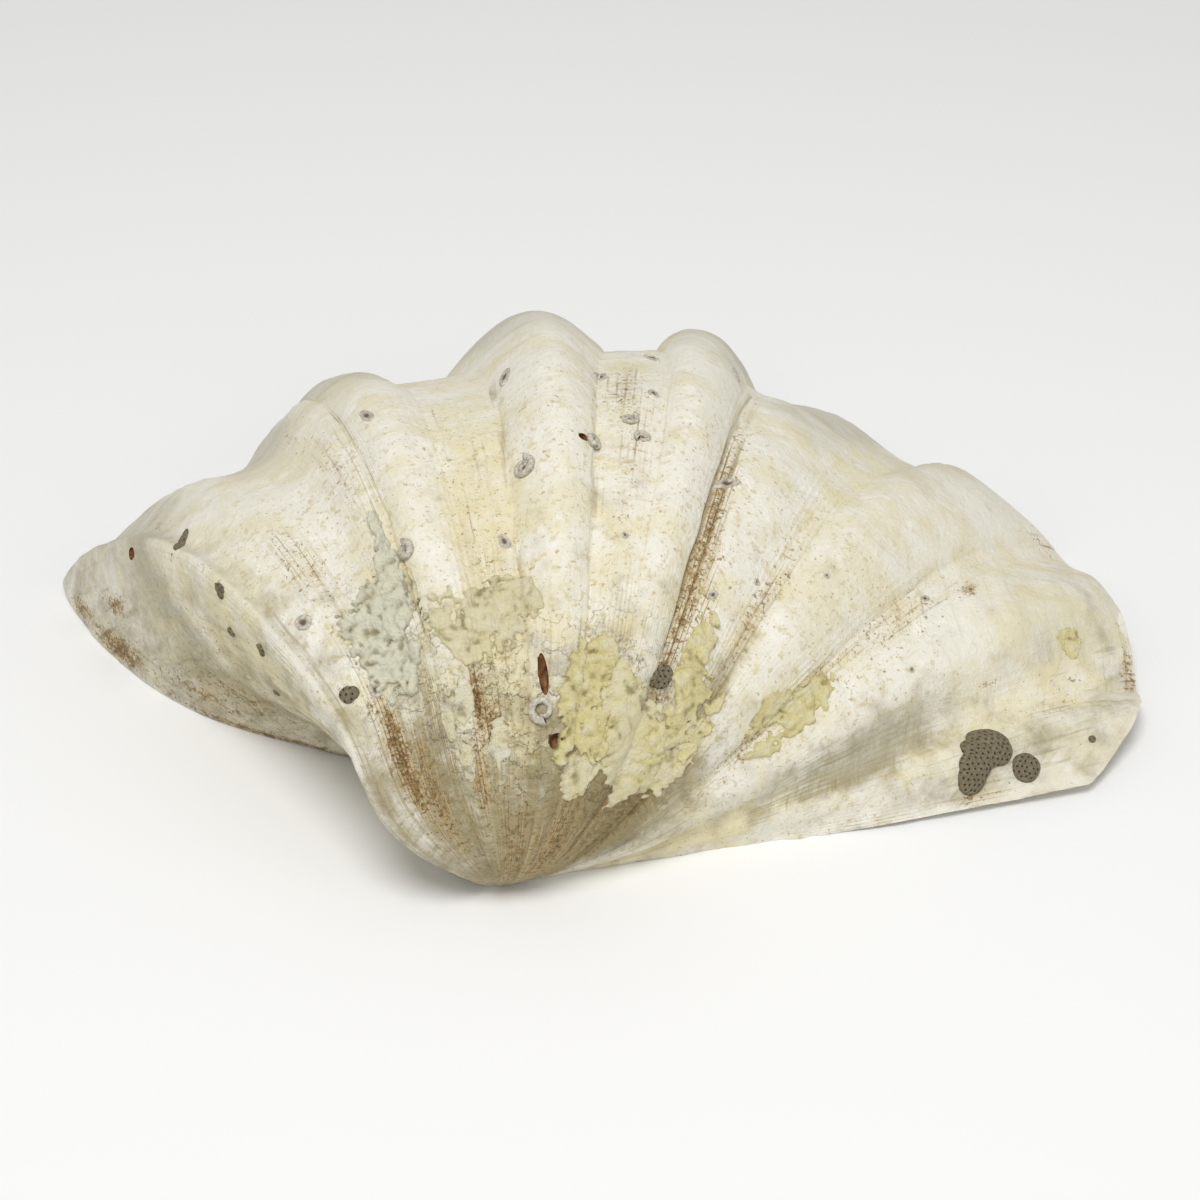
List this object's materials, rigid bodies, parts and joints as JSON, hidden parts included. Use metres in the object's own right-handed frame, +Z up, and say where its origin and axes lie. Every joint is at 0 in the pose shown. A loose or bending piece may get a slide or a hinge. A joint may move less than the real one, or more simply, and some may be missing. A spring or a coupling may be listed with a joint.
{
  "type": "giant clam shell",
  "caption": "Single fluted valve of a giant clam, lying hollow side down, with corals, worm tubes and limy crusts grown on its weathered back.",
  "frame": {"origin": "the middle of the box's base, on the surface that the valve rests on", "axes": "+X along the hinge line from the umbo to the rear end, +Y from the hinge to the scalloped margin, +Z up through the back of the valve"},
  "size_m": [0.6188, 0.4594, 0.1899],
  "materials": {
    "shell": "chalky, weathered, stained brown in the grooves",
    "coral": "rough, pitted with small cups",
    "worm_tube": "dull, wrinkled",
    "crust": "lumpy, flaking"
  },
  "bodies": {
    "root": {"shell_valve": "shell", "kidney_coral": "coral", "round_coral": "coral", "middle_coral": "coral", "keel_coral": "coral", "worm_coil_crest": "worm_tube", "worm_coil_dip": "worm_tube", "worm_coil_front": "worm_tube", "worm_coil_low": "worm_tube", "worm_pair_near": "worm_tube", "worm_pair_far": "worm_tube", "front_crust": "crust", "upper_crust": "crust", "lower_crust": "crust"}
  },
  "joints": []
}
